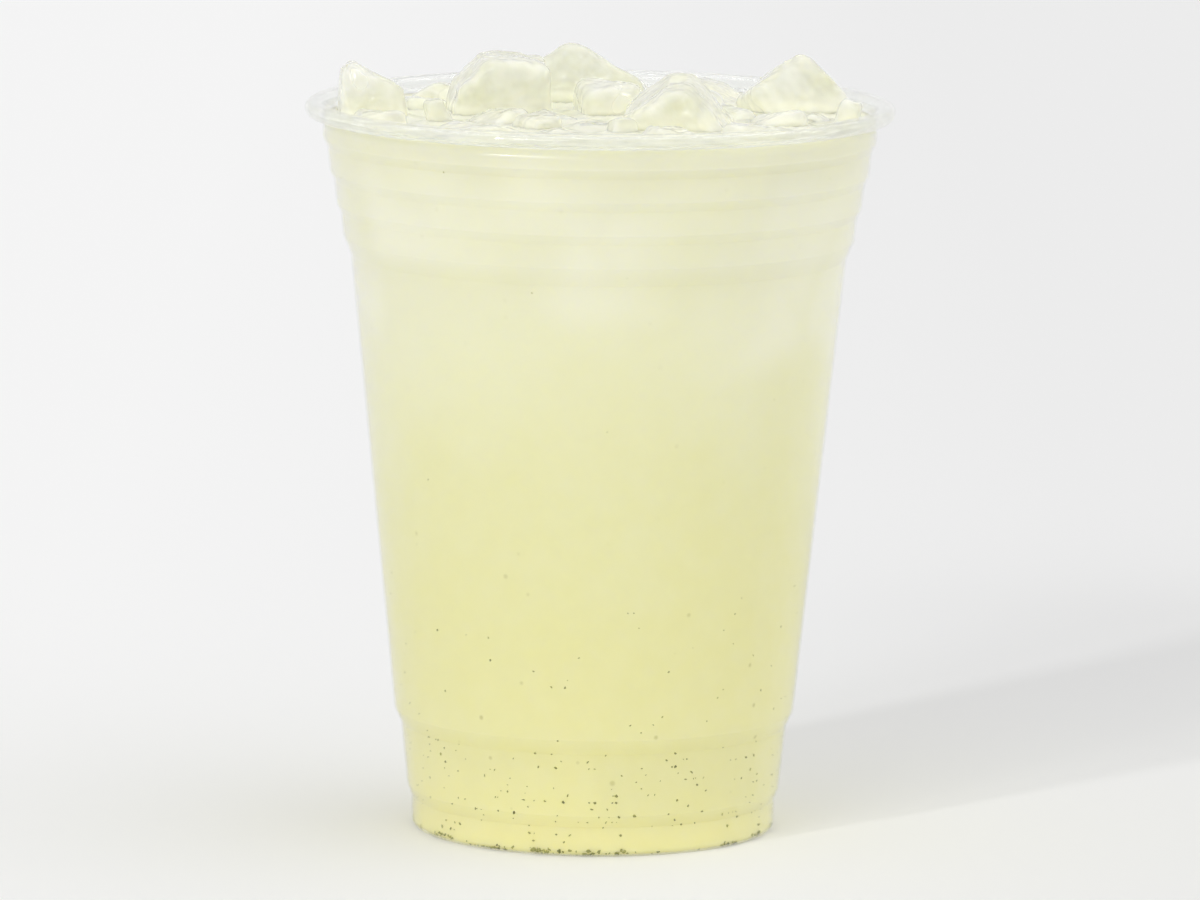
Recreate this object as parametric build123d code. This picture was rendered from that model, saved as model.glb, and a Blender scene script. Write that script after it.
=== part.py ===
"""A clear thermoformed plastic cup of iced lemonade, filled to just under its rolled lip.

Millimetres, +Z up. The origin is the middle of the ring that the cup stands on. +X is the right
of the cup as it is looked at from its front, which faces -Y. Every turned profile is drawn in the
XZ plane as corners of (radius, height) and turned about Z.
"""
from build123d import *
from math import atan2, radians, sqrt, tan
import os

# ---- The cup -----------------------------------------------------------------------------------
CUP_HEIGHT = 121.8
RIM_RADIUS = 49.0            # outside of the rolled lip
WALL = 0.5                   # thickness of the sheet
DRAFT = 5.84                 # lean of the straight walls, in degrees

LIP_WIDTH = 3.0              # how far the lip stands out from the wall
LIP_HEIGHT = 2.6
LIP_RETURN = 0.9             # flat end of the sheet, under the lip

NECK_HEIGHT = 3.5            # upright wall from the lip down to the first ledge
BAND_COUNT = 3               # stacking bands, each below a small ledge
BAND_HEIGHT = 4.0
LEDGE_HEIGHT = 1.5
LEDGE_INSET = 0.75
SHOULDER_HEIGHT = 3.0        # the larger ledge between the bands and the plain body
SHOULDER_INSET = 1.3

STEP_HEIGHT = 2.5            # the ledge between the plain body and the skirt
STEP_INSET = 1.15
SKIRT_HEIGHT = 10.5
GROOVE_HEIGHT = 2.0          # the ledge between the skirt and the foot
GROOVE_INSET = 0.8
FOOT_HEIGHT = 5.0
FOOT_ROUNDING = 1.2          # outside radius of the foot's lower corner
STANDING_WIDTH = 2.4         # flat ring that the cup stands on
RECESS_DEPTH = 2.5           # how far the middle of the base is pushed up
RECESS_SLOPE = 2.0           # width of the slope from the ring up to the middle
CREASE = 0.45                # radius that softens the ledges

# ---- The drink ---------------------------------------------------------------------------------
FILL_BELOW_RIM = 3.4
DRINK_CLEARANCE = 0.3        # between the drink and the sheet
ICE_CLEARANCE = 0.3          # between the drink and each piece of ice

# ---- The ice -----------------------------------------------------------------------------------
CUBE_DRAFT = 4.0             # lean of a piece's sides from its mould, in degrees
CUBE_ROUNDING = 2.4          # radius that melting has left on a cube's edges
CHIP_ROUNDING = 1.2          # the same on a small broken piece
HEAP_MOUTH = 45.5            # inside radius of the mouth that the heap below is laid out for

# Each piece: its length, width and height; its turn about X, Y and Z in degrees; its middle,
# across and back from the cup's axis; how far its top stands above the rim; and the slopes
# melted into it, each as its azimuth, its lean from level and its distance from the middle.
CUBES = {
    "ice_left": ((12.0, 12.5, 14.0), (-4, -3, 6), (-38.0, 2.0), 6.6, [(0, 30, 4.6)]),
    "ice_middle_left": ((18.0, 14.5, 18.0), (6, 6, 8), (-16.8, 7.6), 7.7, [(180, 52, 8.6)]),
    "ice_back": ((21.5, 14.5, 17.0), (-6, 6, -6), (-2.2, 27.0), 7.3, [(10, 24, 7.0), (180, 40, 9.4)]),
    "ice_centre": ((13.0, 13.5, 16.0), (10, -6, 9), (2.0, 8.4), 3.2, [(60, 30, 7.5)]),
    "ice_front": ((16.0, 16.0, 15.5), (7, -38, -8), (12.5, -12.0), 6.2, [(0, 38, 8.6)]),
    "ice_right": ((15.0, 13.5, 13.6), (-5, -37, 26), (31.8, 14.6), 7.4, [(0, 45, 9.0)]),
    "ice_middle_right": ((11.0, 12.0, 13.0), (-8, 7, 14), (16.2, 12.8), 1.6, [(300, 24, 6.0)]),
    "ice_back_right": ((14.0, 12.0, 14.0), (6, 8, -32), (18.4, 30.2), 0.9, [(0, 20, 6.6)]),
    "ice_back_left": ((14.0, 13.0, 13.0), (-7, 5, -43), (-25.6, 25.0), 0.8, [(200, 25, 6.4)]),
    "ice_front_left": ((18.0, 16.0, 13.0), (4, -9, 36), (-21.6, -24.8), -0.6, [(0, 20, 6.9)]),
    "ice_front_centre": ((14.0, 13.0, 12.0), (-6, 8, -12), (-0.6, -32.0), -1.0, [(90, 22, 6.0)]),
    "ice_front_right": ((13.6, 13.4, 13.0), (-8, 6, -38), (26.6, -24.4), -0.2, [(120, 22, 6.5)]),
    "ice_side_left": ((10.0, 10.5, 12.0), (6, -7, 18), (-35.6, -13.0), 0.4, [(40, 26, 5.6)]),
    "ice_side_right": ((11.0, 10.0, 11.0), (-7, -9, 12), (30.0, -6.4), 0.2, [(210, 24, 5.4)]),
}
CHIPS = {
    "ice_chip_left": ((5.0, 5.0, 7.0), (12, -16, 20), (-26.8, -6.2), 1.6, []),
    "ice_chip_right": ((5.0, 5.6, 8.0), (8, 14, -12), (41.0, -4.6), 2.0, []),
}

THROAT = RIM_RADIUS - LIP_WIDTH
LIP_BOTTOM = CUP_HEIGHT - LIP_HEIGHT


def wall_corners():
    """The outer face of the wall, from under the lip down to the level of the table."""
    taper = tan(radians(DRAFT))
    band = [(LEDGE_HEIGHT, LEDGE_INSET), (BAND_HEIGHT, BAND_HEIGHT * taper)]
    upper = [(NECK_HEIGHT, 0), *band * BAND_COUNT, (SHOULDER_HEIGHT, SHOULDER_INSET)]
    lower = [
        (STEP_HEIGHT, STEP_INSET),
        (SKIRT_HEIGHT, SKIRT_HEIGHT * taper),
        (GROOVE_HEIGHT, GROOVE_INSET),
        (FOOT_HEIGHT, 0),
    ]
    body_height = LIP_BOTTOM - sum(drop for drop, _ in upper + lower)
    radius, height = THROAT, LIP_BOTTOM
    corners = [(radius, height)]
    for drop, inset in [*upper, (body_height, body_height * taper), *lower]:
        radius, height = radius - inset, height - drop
        corners.append((radius, height))
    return corners


def base_corners(foot_radius):
    """The lower face of the base, from the inner edge of the standing ring to the axis."""
    ring_radius = foot_radius - FOOT_ROUNDING - STANDING_WIDTH
    return [(ring_radius, 0), (ring_radius - RECESS_SLOPE, RECESS_DEPTH), (0, RECESS_DEPTH)]


def outline(inset, top):
    """The rounded line that lies inset within the outer faces, from height top to the axis."""
    wall = [(radius - inset, height) for radius, height in wall_corners()]
    foot_radius = wall_corners()[-1][0]
    lean = inset * tan(atan2(RECESS_DEPTH, RECESS_SLOPE) / 2)
    ring, crest, centre = [(radius + lean, height + inset) for radius, height in base_corners(foot_radius)]
    wall[0] = (wall[0][0], top)
    wall[-1] = (wall[-1][0], inset)
    corners = [*wall, ring, crest, (0, centre[1])]
    radii = [CREASE] * (len(corners) - 2)
    radii[len(wall) - 2] = FOOT_ROUNDING - inset
    return FilletPolyline(*[(radius, 0, height) for radius, height in corners], radius=radii)


def turned(*lines):
    """The solid that the closed run of lines in the XZ plane makes when turned about Z."""
    edges = [edge for line in lines for edge in line.edges()]
    return revolve(make_face(Wire(edges)), Axis.Z)


def lip():
    """The rolled lip's section, from the inner face up, over, under and back to the outer face."""
    roll = LIP_HEIGHT / 2
    hollow = roll - WALL
    centre_height = CUP_HEIGHT - roll
    inner_centre = THROAT - WALL + roll
    outer_centre = RIM_RADIUS - roll
    sheet_end = outer_centre - LIP_RETURN

    def quarter(centre, size, start, end):
        """A quarter circle about centre, from one of its four main directions to the next."""
        middle = tuple((a + b) / sqrt(2) for a, b in zip(start, end))
        points = [(centre + size * across, 0, centre_height + size * up) for across, up in (start, middle, end)]
        return ThreePointArc(*points)

    left, up, right, down = (-1, 0), (0, 1), (1, 0), (0, -1)
    return [
        Line((THROAT - WALL, 0, LIP_BOTTOM), (THROAT - WALL, 0, centre_height)),
        quarter(inner_centre, roll, left, up),
        Line((inner_centre, 0, CUP_HEIGHT), (outer_centre, 0, CUP_HEIGHT)),
        quarter(outer_centre, roll, up, right),
        quarter(outer_centre, roll, right, down),
        Polyline(
            (outer_centre, 0, LIP_BOTTOM),
            (sheet_end, 0, LIP_BOTTOM),
            (sheet_end, 0, LIP_BOTTOM + WALL),
            (outer_centre, 0, LIP_BOTTOM + WALL),
        ),
        quarter(outer_centre, hollow, down, right),
        quarter(outer_centre, hollow, right, up),
        Line((outer_centre, 0, CUP_HEIGHT - WALL), (inner_centre, 0, CUP_HEIGHT - WALL)),
        quarter(inner_centre, hollow, up, left),
        Line((THROAT, 0, centre_height), (THROAT, 0, LIP_BOTTOM)),
    ]


def cup():
    """The sheet: rolled lip, stepped wall, foot and pushed-up base, turned as one shell."""
    middle_of_base = Line((0, 0, RECESS_DEPTH), (0, 0, RECESS_DEPTH + WALL))
    return turned(*lip(), outline(0, LIP_BOTTOM), middle_of_base, outline(WALL, LIP_BOTTOM))


def ice(size, slopes, rounding, spread, grow):
    """A half-melted piece about the origin: a drafted core with slopes cut off, rounded all over."""
    length, width, height = (side * spread - 2 * rounding for side in size)
    core = Pos(0, 0, -height / 2) * extrude(Rectangle(length, width), height, taper=CUBE_DRAFT)
    for azimuth, lean, distance in slopes:
        slope = Rotation(0, 0, azimuth) * Rotation(0, lean, 0) * Pos(0, 0, distance * spread - rounding)
        core -= slope * Box(*[4 * max(size)] * 3, align=(Align.CENTER, Align.CENTER, Align.MIN))
    return offset(core, amount=rounding + grow, kind=Kind.ARC)


def heap(grow=0.0):
    """Every piece of ice in its place, by name, each grown all round."""
    spread = (THROAT - WALL) / HEAP_MOUTH
    pieces = {}
    for group, rounding in ((CUBES, CUBE_ROUNDING), (CHIPS, CHIP_ROUNDING)):
        for name, (size, turn, (across, back), rise, slopes) in group.items():
            turn = Rotation(*turn)
            piece = turn * ice(size, slopes, rounding, spread, grow)
            top = piece.bounding_box().max.Z - grow
            pieces[name] = Pos(across * spread, back * spread, CUP_HEIGHT + rise * spread - top) * piece
    return pieces


def lemonade():
    """The drink up to its level, clear of the sheet and cut round the ice."""
    inset = WALL + DRINK_CLEARANCE
    outside = outline(inset, CUP_HEIGHT)
    surface, bottom = outside @ 0, outside @ 1
    drink = turned(outside, Polyline(bottom, (0, 0, CUP_HEIGHT), surface))
    above = Pos(0, 0, CUP_HEIGHT - FILL_BELOW_RIM) * Cylinder(
        RIM_RADIUS, CUP_HEIGHT, align=(Align.CENTER, Align.CENTER, Align.MIN)
    )
    drink -= above
    for piece in heap(ICE_CLEARANCE).values():
        drink -= piece
    return drink


os.makedirs("parts", exist_ok=True)
parts = {"cup": cup(), "lemonade": lemonade(), **heap()}
for node, shape in parts.items():
    export_step(shape, f"parts/{node}.step")
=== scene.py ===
"""The looks of a clear plastic cup of iced lemonade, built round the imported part.

Metres, +Z up, in the part's own frame: the cup stands on z = 0 about the Z axis, and its front
faces -Y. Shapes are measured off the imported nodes, so they follow the part if its sizes change.
"""

from math import cos, pi, radians, sin

import bmesh
import bpy
import numpy as np
from mathutils import Euler, Matrix, Vector, noise
from mathutils.bvhtree import BVHTree


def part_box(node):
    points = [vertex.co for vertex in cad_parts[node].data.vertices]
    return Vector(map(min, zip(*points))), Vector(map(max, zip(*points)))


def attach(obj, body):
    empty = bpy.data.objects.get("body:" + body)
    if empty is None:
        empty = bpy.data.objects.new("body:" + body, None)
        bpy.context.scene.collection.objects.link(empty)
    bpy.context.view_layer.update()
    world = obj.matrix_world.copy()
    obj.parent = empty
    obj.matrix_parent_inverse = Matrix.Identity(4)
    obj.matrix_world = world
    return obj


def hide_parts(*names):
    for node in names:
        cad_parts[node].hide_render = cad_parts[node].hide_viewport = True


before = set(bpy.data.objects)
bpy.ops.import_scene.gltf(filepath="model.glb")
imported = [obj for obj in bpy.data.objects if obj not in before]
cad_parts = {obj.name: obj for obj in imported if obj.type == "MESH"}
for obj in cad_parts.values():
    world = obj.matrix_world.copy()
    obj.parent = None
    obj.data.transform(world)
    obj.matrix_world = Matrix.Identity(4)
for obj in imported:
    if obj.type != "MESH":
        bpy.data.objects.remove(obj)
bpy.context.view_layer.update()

MM = 0.001
BODY = "root"

# ---- The drink ---------------------------------------------------------------------------------
WALL_REACH = 0.15 * MM       # how far the drink reaches into the sheet, so that no gap shows
ICE_REACH = 0.14 * MM        # how far it reaches into each piece of ice
DRINK_COLUMNS = 240          # divisions round the axis
RING_STEP = 0.6 * MM         # spacing of the rings on the surface
SURFACE_RISE = 0.75 * MM     # how far the surface climbs the wall
SURFACE_CURVE = 1.3 * MM     # how quickly that climb dies away
ICE_RISE = 0.8 * MM          # the same against the ice
RIPPLE = 0.08 * MM
RIPPLE_SIZE = 7 * MM
POCKET_DEPTH = 3.5 * MM      # how deep the ice shows in the cloudy drink
POCKET_BELOW = 0.06          # what is left of the depth below that
POCKET_FACES = 0.25          # share of the ice's faces that its pocket has
LONGEST_STEP = 1.3 * MM      # between the rings of the drink's side
# Fine bits deep in the drink: their spacing, size as a share of it, strength and pattern's shift.
DEEP_SPECKS = [(6.5 * MM, 0.09, 0.45, 0.0), (11 * MM, 0.06, 0.35, 5.0)]

# ---- The cup -----------------------------------------------------------------------------------
CUP_COLUMNS = 320
CORNER = 0.05 * MM           # what is taken off the sheet's cut edge
SHARP = radians(60)          # the turn that makes a corner sharp
SEEN_STRAIGHT = 0.33         # share of the view that so thin a sheet doesn't bend
LIP_STRAIGHT = 0.62          # the same above the drink

# ---- The ice -----------------------------------------------------------------------------------
ICE_VOXEL = 0.42 * MM
ICE_SMOOTHING = 14
ICE_DENT = 0.9 * MM          # depth of the broad hollows that melting leaves
ICE_DENT_SIZE = 6.5 * MM
ICE_DENT_POWER = 1.5         # leaves more of the surface shallow than deep
ICE_FINER = 2.3              # how much finer the second layer of hollows is
ICE_FINER_SHARE = 0.25       # and how deep, as a share of the first
ICE_SHIFT = (13.7, 5.1, 2.3)         # from one piece's pattern to the next's
ICE_RIPPLE = 0.14 * MM
ICE_RIPPLE_SIZE = 1.7 * MM
WATERLINE = 4.5 * MM         # height over which the drink tints the ice

# ---- Loose ice, which fills the heap between the nodes' own pieces -------------------------------
LOOSE_TRIES = 500
LOOSE_RADIUS = (4.0 * MM, 7.0 * MM)
LOOSE_RISE = (0.8 * MM, 3.4 * MM)    # of its top above the drink
LOOSE_GAP = 0.86             # how near two pieces may come, as a share of touching
LOOSE_SPREAD = 2.8           # what a piece measures across its box's corners, in radii
LOOSE_MOUTH = 5 * MM         # kept clear along the wall
LOOSE_SEED = 2

# ---- The flecks of leaf: lowest and highest place, how many, smallest and largest length ----------
FLECK_BANDS = [
    (44 * MM, 116 * MM, 30, 0.30 * MM, 0.50 * MM),
    (18 * MM, 44 * MM, 120, 0.30 * MM, 0.65 * MM),
    (4.5 * MM, 18 * MM, 360, 0.30 * MM, 0.70 * MM),
]
CLUMPS = 46                  # settled in the foot's corner
CLUMP_FLECKS = (3, 14)
LOOSE_FLECKS = 60            # scattered between the clumps
FOOT_INSIDE = 0.93           # the corner's inner edge, as a share of the foot's radius
FLECK_WIDTH = (0.18, 0.42)   # half of it, as a share of the length
FLECK_HALF = (0.05 * MM, 0.09 * MM)   # of its thickness
FLECK_LIFT = 0.05 * MM       # how far out of the drink's side its middle may be
FLECK_TILT = 0.2
FLECK_SEED = 11

# ---- The ice sunk in the drink, which shows through it as pale patches --------------------------
SUNK_PIECES = 26
SUNK_ROUNDS = 3              # turns about the axis that they are spread over
SUNK_HEIGHTS = (0.76, 0.98)  # of their middles, as shares of the drink's height
SUNK_HALF = (4 * MM, 8 * MM)
SUNK_BEHIND = (0.5 * MM, 3.5 * MM)
SUNK_TILT = 0.5              # most that one leans, in radians
SUNK_UNEVEN = 0.35           # in their spacing
SUNK_STRENGTH = (0.25, 0.75)
SUNK_BLUR = 7 * MM
SUNK_SEED = 4

# ---- The light: one wide window at the front left, as strips of (azimuth from -Y, energy, width) -----
KEY_STRIPS = [(-41, 0.60, 4), (-33, 0.27, 8), (-26, 0.20, 10), (-17, 0.20, 12)]
KEY_ELEVATION = 25
FILL = 0.50                  # light from all round, as it falls on matt surfaces
FILL_RIGHT = 1.58            # what that grows to at the right
FILL_LEFT = 0.24             # what is added to it at the left
ROOM = 0.87                  # what the wet and clear surfaces mirror
ROOM_RIGHT = 1.05            # what that grows to at the right
ROOM_LEFT = 1.1              # what is added to it at the left
ROOM_FRONT, ROOM_ABOVE = 0.74, 2.1
BACKDROP = (0.91, 0.85)      # beyond the floor, at the left and at the right: painted light, brighter at the left where the lamps are

# ---- The floor ---------------------------------------------------------------------------------
FLOOR_SHADE = 0.82
FLOOR_GLOW = (0.128, 0.060)  # added for the eye, at the left and at the right: painted light, brighter at the left where the lamps are
FLOOR_BLEND = 0.1            # half the width over which one passes into the other

# ---- The view ----------------------------------------------------------------------------------
MOST_BOUNCES = 32            # light crosses many layers of the sheet
CAMERA_TARGET = Vector((0.56 * MM, 0, 63.3 * MM))
CAMERA_DISTANCE = 1.617
CAMERA_ELEVATION = radians(8.56)
CAMERA_ROLL = radians(0.62)
CAMERA_LENS = 291.1


# ---- Small helpers -----------------------------------------------------------------------------
class Nodes:
    """Adds shader nodes to a tree and links them by what is given for their inputs."""

    def __init__(self, tree):
        self.tree = tree
        tree.nodes.clear()

    def add(self, kind, inputs=(), **settings):
        node = self.tree.nodes.new("ShaderNode" + kind)
        for name, value in settings.items():
            setattr(node, name, value)
        for name, value in dict(inputs).items():
            self.put(node.inputs[name], value)
        return node

    def put(self, socket, value):
        if isinstance(value, bpy.types.Node):
            value = next(output for output in value.outputs if output.enabled)
        if isinstance(value, bpy.types.NodeSocket):
            self.tree.links.new(value, socket)
        elif hasattr(socket.default_value, "__len__") and not hasattr(value, "__len__"):
            socket.default_value = [value] * len(socket.default_value)
        else:
            socket.default_value = value

    def noise(self, size, detail=2.0, roughness=0.5, offset=(0, 0, 0), stretch=(1, 1, 1)):
        """Noise whose features are about size metres, in the piece's own coordinates."""
        place = self.add("TexCoord").outputs["Object"]
        scale = [each / size for each in stretch]
        mapped = self.add("Mapping", {"Vector": place, "Location": offset, "Scale": scale})
        settings = {"Vector": mapped, "Scale": 1.0, "Detail": detail, "Roughness": roughness}
        return self.add("TexNoise", settings)

    def range(self, value, low, high, to_low=0.0, to_high=1.0, smooth=False):
        return self.add(
            "MapRange",
            {"Value": value, "From Min": low, "From Max": high, "To Min": to_low, "To Max": to_high},
            interpolation_type="SMOOTHSTEP" if smooth else "LINEAR",
        )

    def maths(self, operation, first, second=0.0):
        return self.add("Math", {0: first, 1: second}, operation=operation)

    def blend(self, factor, first, second):
        """Mixes two colours."""
        node = self.add("Mix", data_type="RGBA")
        for index, value in ((0, factor), (6, first), (7, second)):
            self.put(node.inputs[index], value)
        return node.outputs[2]

    def any_ray(self, *kinds):
        """1 for a ray of any of these kinds."""
        path = self.add("LightPath")
        total = path.outputs[kinds[0]]
        for kind in kinds[1:]:
            total = self.maths("MAXIMUM", total, path.outputs[kind])
        return total


def linear(*levels):
    """A colour written as 0-255 display levels, as linear values."""
    parts = [level / 255 for level in levels]
    curve = [part / 12.92 if part <= 0.04045 else ((part + 0.055) / 1.055) ** 2.4 for part in parts]
    return (*curve, 1.0)


def add_mesh(name, vertices, faces):
    mesh = bpy.data.meshes.new(name)
    mesh.from_pydata([tuple(v) for v in vertices], [], faces)
    mesh.polygons.foreach_set("use_smooth", [True] * len(mesh.polygons))
    mesh.update()
    piece = bpy.data.objects.new(name, mesh)
    bpy.context.scene.collection.objects.link(piece)
    return piece


def dress(piece, mat, slot, *nodes):
    """Gives a finished piece its material, its body and the nodes that it stands for."""
    piece.data.materials.clear()
    piece.data.materials.append(mat)
    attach(piece, BODY)
    if nodes:
        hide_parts(*nodes)
    return piece


def evaluated(piece):
    """The piece's mesh with its modifiers applied."""
    graph = bpy.context.evaluated_depsgraph_get()
    return bpy.data.meshes.new_from_object(piece.evaluated_get(graph))


def points_of(mesh):
    found = np.empty(len(mesh.vertices) * 3)
    mesh.vertices.foreach_get("co", found)
    return found.reshape(-1, 3)


def tree_of(*meshes):
    """One search tree over several meshes."""
    vertices, faces = [], []
    for mesh in meshes:
        start = len(vertices)
        vertices += [vertex.co.copy() for vertex in mesh.vertices]
        faces += [[start + i for i in polygon.vertices] for polygon in mesh.polygons]
    return BVHTree.FromPolygons(vertices, faces)


# ---- Ice ---------------------------------------------------------------------------------------
def melted(name, node, seed):
    """A node's shape with the hollows and ripples of melting, all of them cut inwards."""
    rough = bpy.data.objects.new(name, node.data.copy())
    bpy.context.scene.collection.objects.link(rough)
    remesh = rough.modifiers.new("remesh", "REMESH")
    remesh.mode = "VOXEL"
    remesh.voxel_size = ICE_VOXEL
    remesh.use_smooth_shade = True
    smooth = rough.modifiers.new("smooth", "SMOOTH")
    smooth.factor = 0.5
    smooth.iterations = ICE_SMOOTHING
    mesh = evaluated(rough)
    bpy.data.objects.remove(rough)
    offset = Vector([seed * shift for shift in ICE_SHIFT])
    normals = [vertex.normal.copy() for vertex in mesh.vertices]
    for vertex, normal in zip(mesh.vertices, normals):
        place = vertex.co / ICE_DENT_SIZE + offset
        dent = 0.5 + 0.5 * noise.noise(place)
        dent += ICE_FINER_SHARE * noise.noise(place * ICE_FINER)
        ripple = 0.5 + 0.5 * noise.noise(vertex.co / ICE_RIPPLE_SIZE + offset)
        depth = ICE_DENT * min(max(dent, 0), 1) ** ICE_DENT_POWER + ICE_RIPPLE * ripple
        vertex.co -= normal * depth
    mesh.materials.clear()
    piece = bpy.data.objects.new(name, mesh)
    bpy.context.scene.collection.objects.link(piece)
    return piece


def ice_material(level):
    """Wet ice: clear in places, milky where air is frozen into it, and tinted at the waterline."""
    mat = bpy.data.materials.new("ice")
    mat.use_nodes = True
    n = Nodes(mat.node_tree)
    broad = n.noise(6 * MM, detail=1.5)
    fine = n.noise(0.9 * MM, detail=3, offset=(3, 1, 7))
    bump = n.add("Bump", {"Height": fine, "Strength": 0.3, "Distance": 0.12 * MM})
    pitted = n.range(n.noise(5 * MM, detail=1, offset=(2, 8, 5)), 0.45, 0.60, 0.0, 0.42, smooth=True)
    pits = n.maths("MULTIPLY", n.noise(0.9 * MM, detail=0.5, offset=(4, 6, 1)), pitted)
    relief = n.maths("ADD", n.noise(2.4 * MM, detail=0.5, offset=(9, 4, 2)), pits)
    wet = n.add("Bump", {"Height": relief, "Strength": 1.0, "Distance": 0.9 * MM})
    cloud = n.range(broad, 0.38, 0.66)
    height = n.add("SeparateXYZ", {0: n.add("TexCoord").outputs["Object"]}).outputs["Z"]
    washed = n.range(height, level, level + WATERLINE, 1.0, 0.0, smooth=True)
    milky = n.blend(cloud, linear(236, 236, 223), linear(240, 240, 232))
    clearness = n.range(cloud, 0.0, 1.0, 0.68, 0.38)
    body = n.add(
        "BsdfPrincipled",
        {
            "Base Color": n.blend(washed, milky, linear(245, 244, 224)),
            "Roughness": n.range(broad, 0.35, 0.7, 0.12, 0.28),
            "IOR": 1.18,
            "Transmission Weight": n.maths("MULTIPLY", clearness, n.range(washed, 0.0, 1.0, 1.0, 0.3)),
            "Subsurface Weight": 1.0,
            "Subsurface Radius": (1.0, 0.97, 0.8),
            "Subsurface Scale": 3 * MM,
            "Coat Weight": 1.0,
            "Coat Roughness": 0.02,
            "Coat IOR": 1.5,
            "Normal": bump,
            "Coat Normal": wet,
        },
    )
    clear = n.add("BsdfTransparent", {"Color": (0.93, 0.94, 0.88, 1)})
    shown = n.add("MixShader", {0: n.any_ray("Is Shadow Ray", "Is Diffuse Ray"), 1: body, 2: clear})
    n.add("OutputMaterial", {"Surface": shown})
    return mat


def make_ice():
    """Each piece of ice, in place of its node."""
    pieces = []
    for seed, name in enumerate(sorted(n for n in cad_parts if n.startswith("ice_"))):
        pieces.append(melted(name + "_melted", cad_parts[name], seed))
        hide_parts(name)
    return pieces


def make_loose_ice(mouth, level):
    """Smaller pieces, afloat wherever the nodes' own leave room."""
    draw = np.random.default_rng(LOOSE_SEED)
    names = sorted(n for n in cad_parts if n.startswith("ice_"))
    boxes = [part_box(name) for name in names]
    taken = [((low + high) / 2, (high - low).xy.length / LOOSE_SPREAD) for low, high in boxes]
    pieces = []
    for attempt in range(LOOSE_TRIES):
        radius = draw.uniform(*LOOSE_RADIUS)
        away, turn = (mouth - radius) * draw.uniform() ** 0.5, draw.uniform(0, 2 * pi)
        spot = Vector((away * cos(turn), away * sin(turn)))
        index = draw.integers(len(names))
        top, spin = level + draw.uniform(*LOOSE_RISE), draw.uniform(0, 2 * pi)
        if any((spot - middle.xy).length < LOOSE_GAP * (radius + reach) for middle, reach in taken):
            continue
        taken.append((spot.to_3d(), radius))
        low, high = boxes[index]
        piece = melted("loose_ice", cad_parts[names[index]], len(names) + attempt)
        piece.data.transform(Matrix.Translation(-(low + high) / 2))
        size = LOOSE_SPREAD * radius / (high - low).xy.length
        piece.data.transform(Matrix.Rotation(spin, 4, "Z") @ Matrix.Scale(size, 4))
        rise = top - points_of(piece.data)[:, 2].max()
        piece.data.transform(Matrix.Translation(spot.to_3d() + Vector((0, 0, rise))))
        pieces.append(piece)
    return pieces


def joined(name, pieces):
    """One piece made of several."""
    parts = bmesh.new()
    for piece in pieces:
        parts.from_mesh(piece.data)
        bpy.data.objects.remove(piece)
    whole = add_mesh(name, [], [])
    parts.to_mesh(whole.data)
    parts.free()
    return whole


# ---- Turned shapes -----------------------------------------------------------------------------
def cup_section():
    """The sheet's section as (radius, height) points: out along the base's upper face, up the inside,
    over the lip, down the outside and back in along the lower face, read off the node's own mesh."""
    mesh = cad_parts["cup"].data
    near, decimals = 1e-6, 7
    place = {}
    for vertex in mesh.vertices:
        if abs(vertex.co.y) < near < vertex.co.x:
            place[vertex.index] = (round(vertex.co.x, decimals), round(vertex.co.z, decimals))
    links = {}
    for edge in mesh.edges:
        first, second = (place.get(index) for index in edge.vertices)
        if first and second and first != second:
            links.setdefault(first, set()).add(second)
            links.setdefault(second, set()).add(first)
    ends = [point for point, others in links.items() if len(others) == 1]
    line = [max(ends, key=lambda point: point[1])]
    while len(line) < len(links):
        line.append(next(point for point in links[line[-1]] if point not in line[-2:]))
    return [(0.0, line[0][1]), *line, (0.0, line[-1][1])]


def softened(line):
    """The line with a small flat in place of each sharp corner."""
    soft = [line[0]]
    for before, point, after in zip(line, line[1:], line[2:]):
        here = Vector(point)
        back, ahead = Vector(before) - here, Vector(after) - here
        if 0 < here.x and ahead.angle(-back) > SHARP:
            soft += [tuple(here + back.normalized() * CORNER), tuple(here + ahead.normalized() * CORNER)]
        else:
            soft.append(point)
    return soft + [line[-1]]


def divided(line, longest):
    """The line with long runs divided evenly."""
    points = [line[0]]
    for start, end in zip(line, line[1:]):
        parts = max(1, round((Vector(end) - Vector(start)).length / longest))
        points += [tuple(Vector(start).lerp(Vector(end), i / parts)) for i in range(1, parts + 1)]
    return points


def pushed_out(line, amount):
    """The line moved by amount to its left."""
    points = np.array(line)
    along = np.gradient(points, axis=0)
    along /= np.linalg.norm(along, axis=1)[:, None]
    return points + amount * np.stack([-along[:, 1], along[:, 0]], axis=1)


def lathe(outline, columns):
    """Rings of points about the axis for an outline that starts and ends on it, and their faces."""
    turns = np.arange(columns) * 2 * pi / columns
    vertices = [(0, 0, outline[0][1])]
    for radius, height in outline[1:-1]:
        vertices += [(radius * cos(t), radius * sin(t), height) for t in turns]
    vertices.append((0, 0, outline[-1][1]))
    rings, last = len(outline) - 2, len(vertices) - 1
    faces = []
    for i in range(columns):
        j = (i + 1) % columns
        faces.append((0, 1 + i, 1 + j))
        for ring in range(rings - 1):
            a, b = 1 + ring * columns, 1 + (ring + 1) * columns
            faces.append((a + i, b + i, b + j, a + j))
        a = 1 + (rings - 1) * columns
        faces.append((last, a + j, a + i))
    return vertices, faces


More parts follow.
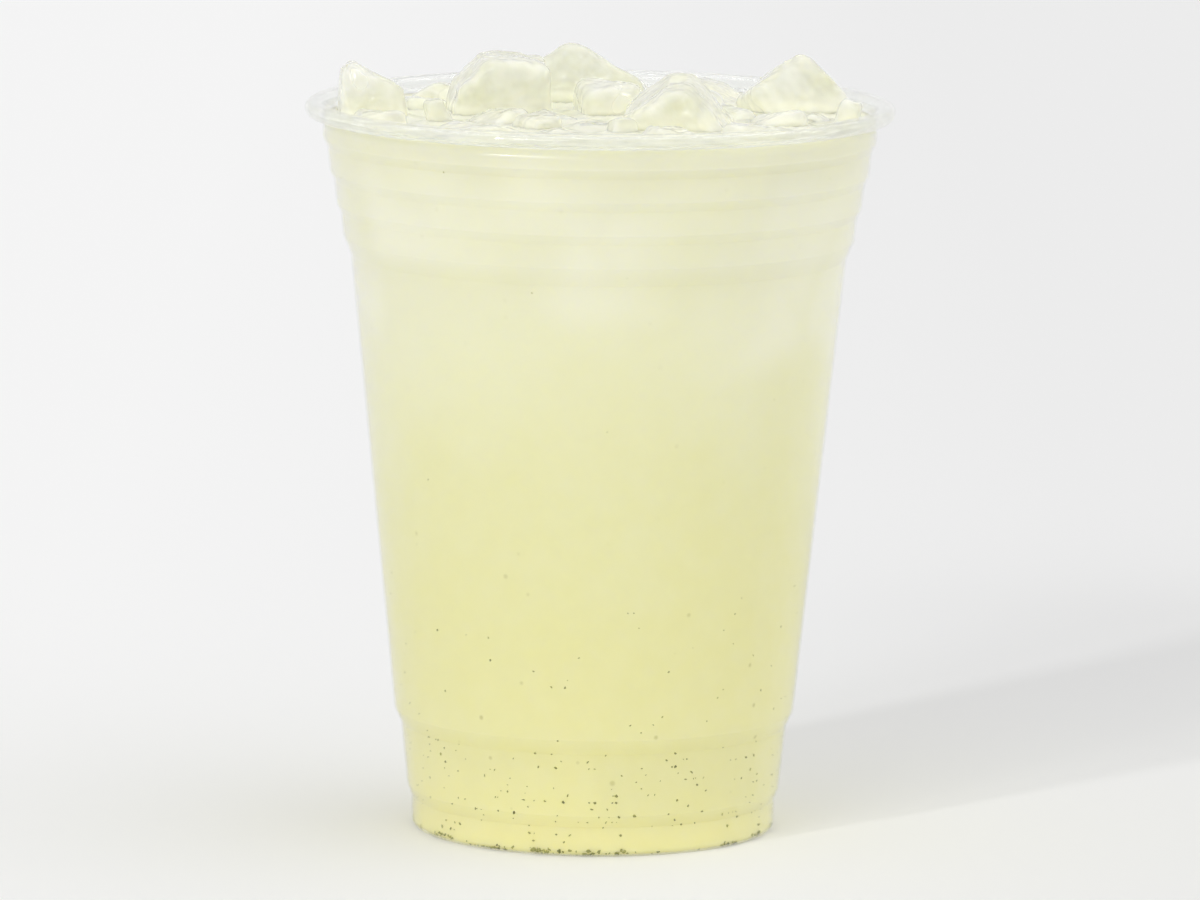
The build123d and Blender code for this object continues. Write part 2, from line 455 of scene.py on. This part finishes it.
# ---- The drink ---------------------------------------------------------------------------------
def lemonade_material(low, high):
    """A cloudy liquid: paler and milkier towards the top, where the ice melts into it. Painted light:
    its foot, its open top and its pockets round the ice are painted lighter to make up for the shade
    they get.
    """
    mat = bpy.data.materials.new("lemonade")
    mat.use_nodes = True
    n = Nodes(mat.node_tree)
    place = n.add("TexCoord").outputs["Object"]
    height = n.add("SeparateXYZ", {0: place}).outputs["Z"]
    drift = n.noise(22 * MM, detail=2, stretch=(1, 1, 0.7))
    wander = n.range(drift, 0.3, 0.7, -7 * MM, 7 * MM)
    depth = n.range(n.maths("ADD", height, wander), low, high)
    ramp = n.add("ValToRGB", {0: depth})
    # Painted light: the lowest stops are lighter than the middle, to make up for the shade at the foot
    # near the floor; the paler top stands for the ice in the drink.
    stops = [
        (0.00, linear(237, 231, 170)),
        (0.05, linear(235, 230, 170)),
        (0.12, linear(230, 226, 170)),
        (0.30, linear(228, 225, 169)),
        (0.50, linear(228, 226, 178)),
        (0.70, linear(231, 230, 196)),
        (0.90, linear(231, 230, 206)),
        (1.00, linear(228, 227, 203)),
    ]
    elements = ramp.color_ramp.elements
    while len(elements) < len(stops):
        elements.new(0.5)
    for element, (at, colour) in zip(elements, stops):
        element.position = at
        element.color = colour
    pale = n.add("Attribute", attribute_name="sunk_ice")
    colour = n.blend(pale.outputs["Fac"], ramp.outputs["Color"], linear(238, 237, 219))
    # Painted light: the open top surface and the pockets round the ice are painted near white, to make
    # up for the shade they get inside the cup.
    open_top = n.add("Attribute", attribute_name="open_surface")
    colour = n.blend(open_top.outputs["Fac"], colour, linear(252, 250, 226))
    haze = n.noise(4 * MM, detail=4)
    colour = n.blend(n.range(haze, 0.35, 0.75, 0.0, 0.10), colour, linear(240, 239, 224))
    for size, reach, strength, shift in DEEP_SPECKS:
        moved = n.add("Mapping", {"Vector": place, "Location": [shift] * 3, "Scale": [1 / size] * 3})
        cell = n.add("TexVoronoi", {"Vector": moved, "Scale": 1.0})
        speck = n.range(cell.outputs["Distance"], reach, reach * 0.3, 0.0, strength, smooth=True)
        settled = n.range(height, 75 * MM, 25 * MM, 0.15, 1.0)
        colour = n.blend(n.maths("MULTIPLY", speck, settled), colour, linear(168, 162, 84))
    from_base = n.range(height, low + 2 * MM, low + 16 * MM, 3 * MM, 20 * MM)
    from_top = n.range(height, high - 12 * MM, high - 1 * MM, 20 * MM, 1.5 * MM)
    body = n.add(
        "BsdfPrincipled",
        {
            "Base Color": colour,
            "Roughness": n.range(haze, 0.3, 0.7, 0.08, 0.16),
            "IOR": 1.34,
            "Subsurface Weight": 1.0,
            "Subsurface Radius": n.blend(open_top.outputs["Fac"], (1.0, 0.97, 0.6, 1), (1, 1, 1, 1)),
            "Subsurface Scale": n.maths("MINIMUM", from_base, from_top),
            "Specular IOR Level": 0.4,
        },
    )
    n.add("OutputMaterial", {"Surface": body})
    return mat


def sunk_ice(points, low, high, wall_at):
    """How pale each point is made by the ice sunk behind it, from 0 to 1."""
    draw = np.random.default_rng(SUNK_SEED)
    pale = np.zeros(len(points))
    for index in range(SUNK_PIECES):
        uneven = draw.uniform(-SUNK_UNEVEN, SUNK_UNEVEN)
        turn = 2 * pi * (index + uneven) / SUNK_PIECES * SUNK_ROUNDS
        height = low + (high - low) * draw.uniform(*SUNK_HEIGHTS)
        half = draw.uniform(*SUNK_HALF, 3)
        away = wall_at(height) - half[0] - draw.uniform(*SUNK_BEHIND)
        centre = np.array([away * sin(turn), -away * cos(turn), height])
        tilt = [draw.uniform(-SUNK_TILT, SUNK_TILT) for _ in range(3)]
        lean = np.array(Euler((tilt[0], tilt[1], turn + tilt[2])).to_matrix())
        beyond = np.abs((points - centre) @ lean) - half
        gap = np.linalg.norm(np.maximum(beyond, 0), axis=1) + np.minimum(beyond.max(axis=1), 0)
        shown = np.clip(1 - gap / SUNK_BLUR, 0, 1)
        pale = np.maximum(pale, draw.uniform(*SUNK_STRENGTH) * shown * shown * (3 - 2 * shown))
    return pale


def make_lemonade(section, ice):
    """The drink in one piece, which climbs the wall and the ice a little and is cut round the ice."""
    low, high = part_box("lemonade")
    level = high.z
    inside = []
    for point in section:
        if point[1] > level:
            break
        inside.append(point)
    inside.append((inside[-1][0], level))
    wall = [tuple(point) for point in pushed_out(divided(inside, LONGEST_STEP), -WALL_REACH)][::-1]
    wall[0], wall[-1] = (wall[0][0], level), (0.0, wall[-1][1])
    rim = wall[0][0]
    rings = np.linspace(0, rim, int(rim / RING_STEP) + 1)
    surface = [(radius, level) for radius in rings[:-1]]
    vertices, faces = lathe([*surface, *wall], DRINK_COLUMNS)
    near = tree_of(*[piece.data for piece in ice])
    for index in range(1 + DRINK_COLUMNS * len(surface)):
        place = Vector(vertices[index])
        at_wall = np.exp((place.xy.length - rim) / SURFACE_CURVE)
        gap = near.find_nearest(place)[3]
        climb = ICE_RISE * np.exp(-gap / SURFACE_CURVE) + RIPPLE * noise.noise(place / RIPPLE_SIZE)
        vertices[index] = (place.x, place.y, level + SURFACE_RISE * at_wall + climb * (1 - at_wall))
    drink = add_mesh("lemonade_body", vertices, faces)
    floor = level - POCKET_DEPTH
    cutters = []
    for piece in ice:
        cutter = bpy.data.objects.new("cutter", piece.data.copy())
        bpy.context.scene.collection.objects.link(cutter)
        cutter.modifiers.new("fewer", "DECIMATE").ratio = POCKET_FACES
        cutter.data = evaluated(cutter)
        cutter.modifiers.clear()
        normals = [vertex.normal.copy() for vertex in cutter.data.vertices]
        for vertex, normal in zip(cutter.data.vertices, normals):
            vertex.co -= normal * ICE_REACH
            vertex.co.z = max(vertex.co.z, floor + POCKET_BELOW * (vertex.co.z - floor))
        cutters.append(cutter)
    for cutter in cutters:
        cut = drink.modifiers.new("cut", "BOOLEAN")
        cut.operation = "DIFFERENCE"
        cut.solver = "MANIFOLD"
        cut.object = cutter
    drink.data = evaluated(drink)
    drink.modifiers.clear()
    for cutter in cutters:
        bpy.data.objects.remove(cutter)
    drink.data.polygons.foreach_set("use_smooth", [True] * len(drink.data.polygons))
    outline = np.array(wall[::-1])
    points = points_of(drink.data)

    def wall_at(height):
        return np.interp(height, outline[:, 1], outline[:, 0])

    behind_wall = wall_at(points[:, 2]) - np.hypot(points[:, 0], points[:, 1])
    # Where the drink is painted lighter to make up for shade: its open top and pockets, away from the
    # wall, in the upper half.
    open_surface = np.clip(behind_wall / SURFACE_CURVE, 0, 1) * (points[:, 2] > (low.z + high.z) / 2)
    paleness = sunk_ice(points, low.z, high.z, wall_at)
    for name, values in (("sunk_ice", paleness), ("open_surface", open_surface)):
        attribute = drink.data.attributes.new(name, "FLOAT", "POINT")
        attribute.data.foreach_set("value", values.astype(np.float32))
    dress(drink, lemonade_material(low.z, high.z), "lemonade", "lemonade")
    return wall


# ---- Flecks of leaf ----------------------------------------------------------------------------
def herb_material():
    mat = bpy.data.materials.new("herb")
    mat.use_nodes = True
    n = Nodes(mat.node_tree)
    shade = n.noise(1.3 * MM, detail=2)
    colour = n.blend(n.range(shade, 0.35, 0.65), (0.16, 0.17, 0.035, 1), (0.42, 0.41, 0.12, 1))
    bump = n.add("Bump", {"Height": n.noise(0.12 * MM), "Strength": 0.4, "Distance": 0.03 * MM})
    leaf = n.add("BsdfPrincipled", {"Base Color": colour, "Roughness": 0.55, "Normal": bump})
    n.add("OutputMaterial", {"Surface": leaf})
    return mat


def make_flecks(wall):
    """Irregular flakes half sunk in the drink's side, and settled in clumps in the foot's corner."""
    draw = np.random.default_rng(FLECK_SEED)
    outline = np.array(wall[::-1])
    along = np.gradient(outline, axis=0)
    along /= np.linalg.norm(along, axis=1)[:, None]
    ball = bmesh.new()
    bmesh.ops.create_icosphere(ball, subdivisions=1, radius=1)
    sphere = np.array([vertex.co for vertex in ball.verts])
    triangles = [[vertex.index for vertex in face.verts] for face in ball.faces]
    ball.free()
    vertices, faces = [], []

    def fleck(at, turn, length):
        """One flake on the outline's point number at, turned about the axis."""
        out = Vector((sin(turn), -cos(turn), 0))
        up = out * along[at][0] + Vector((0, 0, along[at][1]))
        side = out.cross(up).normalized()
        normal = up.cross(side)
        if normal.dot(out) < 0 or (abs(normal.dot(out)) < 0.5 and normal.z > 0):
            normal = -normal
        centre = out * outline[at][0] + Vector((0, 0, outline[at][1]))
        centre += normal * draw.uniform(0, FLECK_LIFT)
        spin = Matrix.Rotation(draw.uniform(0, 2 * pi), 3, normal)
        spin = spin @ Matrix.Rotation(draw.uniform(-FLECK_TILT, FLECK_TILT), 3, side)
        axes = np.array([spin @ side, spin @ up, spin @ normal])
        sizes = np.array([length / 2, length * draw.uniform(*FLECK_WIDTH), draw.uniform(*FLECK_HALF)])
        shape = sphere * draw.uniform(0.62, 1.25, (len(sphere), 1))
        shape[:, 1] += draw.uniform(-0.5, 0.5) * shape[:, 0] ** 2
        faces.extend([[len(vertices) + i for i in triangle] for triangle in triangles])
        vertices.extend((shape * sizes) @ axes + np.array(centre))

    heights = outline[:, 1]
    inner = np.argmax(outline[:, 0] > FOOT_INSIDE * outline[:, 0][heights < FLECK_BANDS[-1][0]].max())
    for low, high, count, small, large in FLECK_BANDS:
        for _ in range(count):
            height = low + (high - low) * draw.uniform() ** 1.2
            at = inner + int(np.argmin(np.abs(heights[inner:] - height)))
            fleck(at, draw.uniform(0, 2 * pi), small + (large - small) * draw.uniform() ** 2)
    corner = [i for i in range(inner, len(outline)) if heights[i] < FLECK_BANDS[-1][0]]
    for _ in range(CLUMPS):
        turn, middle = draw.uniform(0, 2 * pi), draw.uniform(0.25, 0.8)
        for _ in range(draw.integers(*CLUMP_FLECKS)):
            at = corner[int(len(corner) * min(max(draw.normal(middle, 0.13), 0), 0.99))]
            fleck(at, turn + draw.normal(0, 0.03), draw.uniform(0.35, 0.85) * MM)
    for _ in range(LOOSE_FLECKS):
        at = corner[draw.integers(len(corner))]
        fleck(at, draw.uniform(0, 2 * pi), draw.uniform(0.3, 0.8) * MM)
    dress(add_mesh("herb_flecks", vertices, faces), herb_material(), "herb")


# ---- The cup -----------------------------------------------------------------------------------
def plastic_material(level):
    """Clear sheet, a little wavy below the lip, with faint smudges."""
    mat = bpy.data.materials.new("clear_plastic")
    mat.use_nodes = True
    n = Nodes(mat.node_tree)
    flow = n.noise(16 * MM, detail=2, stretch=(1, 1, 0.45))
    smudge = n.noise(9 * MM, detail=5, roughness=0.6, offset=(5, 2, 8))
    height = n.add("SeparateXYZ", {0: n.add("TexCoord").outputs["Object"]}).outputs["Z"]
    strength = n.range(height, level, level + 1.5 * MM, 0.15, 0.02)
    bump = n.add("Bump", {"Height": flow, "Strength": strength, "Distance": 0.2 * MM})
    glass = n.add(
        "BsdfPrincipled",
        {
            "Base Color": (0.985, 0.99, 0.98, 1),
            "Roughness": n.range(smudge, 0.4, 0.75, 0.015, 0.07),
            "IOR": 1.22,
            "Transmission Weight": 1.0,
            "Coat Weight": 1.0,
            "Coat Roughness": 0.03,
            "Coat IOR": 1.5,
            "Normal": bump,
            "Coat Normal": bump,
        },
    )
    clear = n.add("BsdfTransparent", {"Color": (0.985, 0.988, 0.98, 1)})
    seen = n.range(height, level - 1 * MM, level, SEEN_STRAIGHT, LIP_STRAIGHT)
    straight = n.maths("MAXIMUM", n.any_ray("Is Shadow Ray", "Is Diffuse Ray"), seen)
    shown = n.add("MixShader", {0: straight, 1: glass, 2: clear})
    n.add("OutputMaterial", {"Surface": shown})
    return mat


def make_cup(section):
    """The sheet again, in even rings fine enough to bend light smoothly."""
    vertices, faces = lathe(softened(section), CUP_COLUMNS)
    mat = plastic_material(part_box("lemonade")[1].z)
    dress(add_mesh("cup_sheet", vertices, faces), mat, "clear_plastic", "cup")


# ---- Stage, light and camera -------------------------------------------------------------------
def make_stage():
    floor = add_mesh("floor", [(-9, -9, 0), (9, -9, 0), (9, 9, 0), (-9, 9, 0)], [(0, 1, 2, 3)])
    mat = bpy.data.materials.new("floor")
    mat.use_nodes = True
    n = Nodes(mat.node_tree)
    body = n.add("BsdfDiffuse", {"Color": [FLOOR_SHADE] * 3 + [1]})
    across = n.add("SeparateXYZ", {0: n.add("TexCoord").outputs["Object"]}).outputs["X"]
    # Painted light: the floor glows more at the left than at the right, as if lit more from the left.
    strength = n.range(across, -FLOOR_BLEND, FLOOR_BLEND, *FLOOR_GLOW)
    glow = n.add("Emission", {"Color": (1, 1, 1, 1), "Strength": strength})
    lit = n.add("AddShader", {0: body, 1: glow})
    seen = n.any_ray("Is Camera Ray", "Is Glossy Ray", "Is Transmission Ray")
    n.add("OutputMaterial", {"Surface": n.add("MixShader", {0: seen, 1: body, 2: lit})})
    floor.data.materials.append(mat)


def make_light():
    world = bpy.data.worlds.new("studio")
    bpy.context.scene.world = world
    world.use_nodes = True
    n = Nodes(world.node_tree)
    way = n.add("SeparateXYZ", {0: n.add("TexCoord").outputs["Generated"]}).outputs
    front = n.maths("MULTIPLY", way["Y"], -1.0)
    left = n.range(way["X"], -0.6, -0.95, 0.0, ROOM_LEFT, smooth=True)
    right = n.range(way["X"], 0.6, 0.95, ROOM, ROOM_RIGHT, smooth=True)
    sides = n.maths("ADD", left, right)
    room = n.blend(n.range(front, 0.2, 0.9, smooth=True), sides, [ROOM_FRONT] * 3 + [1])
    room = n.blend(n.range(way["Z"], 0.62, 0.78, smooth=True), room, [ROOM_ABOVE] * 3 + [1])
    rising = n.range(way["X"], 0.0, 1.0, FILL, FILL_RIGHT)
    fill = n.maths("ADD", rising, n.range(way["X"], 0.0, -1.0, 0.0, FILL_LEFT))
    shown = n.blend(n.any_ray("Is Glossy Ray"), fill, room)
    shown = n.blend(n.any_ray("Is Transmission Ray"), shown, [ROOM] * 3 + [1])
    # Painted light: what is seen beyond the floor is brighter towards the left.
    shown = n.blend(n.any_ray("Is Camera Ray"), shown, n.range(way["X"], -0.3, 0.3, *BACKDROP))
    n.add("OutputWorld", {"Surface": n.add("Background", {"Color": shown, "Strength": 1.0})})
    for index, (azimuth, energy, width) in enumerate(KEY_STRIPS):
        lamp = bpy.data.lights.new(f"key_{index}", "SUN")
        lamp.energy = energy
        lamp.angle = radians(width)
        key = bpy.data.objects.new(f"key_{index}", lamp)
        across, up = radians(azimuth), radians(KEY_ELEVATION)
        towards = Vector((sin(across) * cos(up), -cos(across) * cos(up), sin(up)))
        key.rotation_euler = towards.to_track_quat("Z", "Y").to_euler()
        bpy.context.scene.collection.objects.link(key)


def make_camera():
    lens = bpy.data.cameras.new("camera")
    lens.lens = CAMERA_LENS
    lens.sensor_width = 36
    lens.clip_start, lens.clip_end = 0.1, 50
    camera = bpy.data.objects.new("camera", lens)
    back = Vector((0, -cos(CAMERA_ELEVATION), sin(CAMERA_ELEVATION)))
    turn = back.to_track_quat("Z", "Y").to_matrix() @ Matrix.Rotation(CAMERA_ROLL, 3, "Z")
    camera.matrix_world = Matrix.Translation(CAMERA_TARGET + back * CAMERA_DISTANCE) @ turn.to_4x4()
    bpy.context.scene.collection.objects.link(camera)
    bpy.context.scene.camera = camera


bpy.context.scene.view_settings.view_transform = "Standard"
for limit in ("max_bounces", "transmission_bounces", "transparent_max_bounces"):
    setattr(bpy.context.scene.cycles, limit, MOST_BOUNCES)
drink_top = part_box("lemonade")[1]
cup_outline = cup_section()
make_cup(cup_outline)
node_ice = make_ice()
loose_ice = make_loose_ice(drink_top.x - LOOSE_MOUTH, drink_top.z)
drink_outline = make_lemonade(cup_outline, node_ice + loose_ice)
ice_look = ice_material(drink_top.z)
for piece in [*node_ice, joined("ice_heap", loose_ice)]:
    dress(piece, ice_look, "ice")
make_flecks(drink_outline)
make_stage()
make_light()
make_camera()
